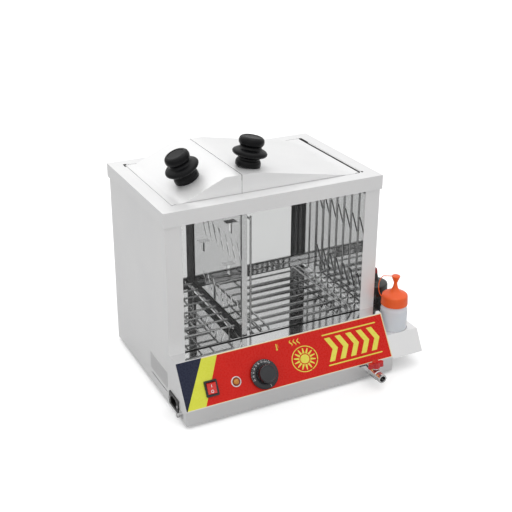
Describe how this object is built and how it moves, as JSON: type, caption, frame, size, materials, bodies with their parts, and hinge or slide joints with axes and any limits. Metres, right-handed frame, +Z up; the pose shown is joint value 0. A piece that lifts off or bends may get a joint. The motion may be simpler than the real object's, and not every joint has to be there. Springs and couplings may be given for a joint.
{
  "type": "hot dog steamer",
  "caption": "Countertop steamer cabinet with glass windows, hinged lids, wire racks over a heated tank, sloping control panel, drain tap and a side shelf with squeeze bottles.",
  "frame": {"origin": "centre of the bounding box's underside, on the plane the feet stand on", "axes": "+X to the right towards the bottle shelf (the longest side), +Y to the rear, +Z up; the control panel faces -Y"},
  "size_m": [0.5254, 0.4192, 0.4873],
  "materials": {
    "steel": "satin",
    "lid_steel": "fine satin",
    "inner_steel": "mill finish",
    "wire_chrome": "bright plated wire",
    "fasteners": "bright zinc",
    "glass": "clear toughened glass",
    "seal": "matt black silicone",
    "overlay": "printed gloss film, red, yellow and dark blue",
    "foot_rubber": "matt black rubber",
    "sheath": "heat-tinted heater sheath",
    "copper": "bare copper",
    "moulding": "ivory moulding",
    "black_plastic": "gloss black",
    "switch_red": "translucent red",
    "pilot_white": "white moulding",
    "pilot_amber": "amber lens",
    "brass": "bright brass",
    "tap_chrome": "bright chrome",
    "lever_red": "gloss red",
    "bottle": "translucent squeeze plastic",
    "cap_orange": "gloss orange",
    "cap_red": "gloss dark red",
    "leads": "insulated leads in several colours"
  },
  "bodies": {
    "cabinet": {"base_shell": "steel", "control_panel": "steel", "panel_overlay": "overlay", "bottom_plate": "inner_steel", "base_screws": "fasteners", "feet": "foot_rubber", "water_tank": "inner_steel", "heating_element": "sheath", "element_clamps": "inner_steel", "drain_pipe": "copper", "left_side_panel": "steel", "right_side_panel": "steel", "left_liner": "steel", "right_liner": "steel", "front_glass": "glass", "rear_glass": "glass", "front_glass_seal": "seal", "rear_glass_seal": "seal", "top_frame": "lid_steel", "divider": "steel", "divider_seal": "seal", "sausage_rack": "wire_chrome", "bun_rack": "wire_chrome", "thermostat_body": "moulding", "thermostat_bulb": "copper", "switch_housing": "black_plastic", "pilot_ring": "pilot_white", "pilot_lens": "pilot_amber", "power_inlet": "black_plastic", "inlet_pins": "brass", "inlet_screws": "fasteners", "earth_terminal": "brass", "terminal_block": "moulding", "rating_plate": "steel", "tap_body": "tap_chrome", "bottle_shelf": "steel", "shelf_screws": "fasteners", "wiring": "leads"},
    "left_lid_body": {"left_lid": "lid_steel", "left_hinge_pins": "fasteners", "left_knob": "black_plastic", "left_knob_screw": "fasteners"},
    "right_lid_body": {"right_lid": "lid_steel", "right_hinge_pins": "fasteners", "right_knob": "black_plastic", "right_knob_screw": "fasteners"},
    "dial_body": {"dial": "black_plastic", "dial_shaft": "fasteners"},
    "rocker_body": {"switch_rocker": "switch_red"},
    "tap_handle": {"tap_ball": "brass", "tap_lever": "lever_red"},
    "front_bottle_body": {"front_bottle": "bottle"},
    "front_cap_body": {"front_bottle_cap": "cap_orange"},
    "rear_bottle_body": {"rear_bottle": "bottle"},
    "rear_cap_body": {"rear_bottle_cap": "cap_red"}
  },
  "joints": [
    {"name": "left_lid_hinge", "type": "hinge", "parent": "cabinet", "child": "left_lid_body", "pos_m": [-0.22185, 0.0601, 0.3905], "axis": [0, -1, 0], "range_deg": [0, 100]},
    {"name": "right_lid_hinge", "type": "hinge", "parent": "cabinet", "child": "right_lid_body", "pos_m": [0.15515, 0.0601, 0.3905], "axis": [0, 1, 0], "range_deg": [0, 100]},
    {"name": "thermostat_turn", "type": "hinge", "parent": "cabinet", "child": "dial_body", "pos_m": [-0.08835, -0.1507, 0.06512], "axis": [0, 0.8393, -0.5436], "range_deg": [0, 270]},
    {"name": "switch_rock", "type": "hinge", "parent": "cabinet", "child": "rocker_body", "pos_m": [-0.19585, -0.14608, 0.06213], "axis": [-1, 0, 0], "range_deg": [0, 18]},
    {"name": "tap_turn", "type": "hinge", "parent": "cabinet", "child": "tap_handle", "pos_m": [0.13715, -0.1841, 0.025], "axis": [0, 0, 1], "range_deg": [0, 90]},
    {"name": "front_bottle_lift", "type": "slide", "parent": "cabinet", "child": "front_bottle_body", "axis": [0, 0, 1], "range_m": [0, 0.13]},
    {"name": "rear_bottle_lift", "type": "slide", "parent": "cabinet", "child": "rear_bottle_body", "axis": [0, 0, 1], "range_m": [0, 0.13]},
    {"name": "front_cap_turn", "type": "hinge", "parent": "front_bottle_body", "child": "front_cap_body", "pos_m": [0.22453, -0.1107, 0.136], "axis": [0, 0, 1], "range_deg": [0, 360]},
    {"name": "rear_cap_turn", "type": "hinge", "parent": "rear_bottle_body", "child": "rear_cap_body", "pos_m": [0.22453, -0.0387, 0.136], "axis": [0, 0, 1], "range_deg": [0, 360]}
  ]
}
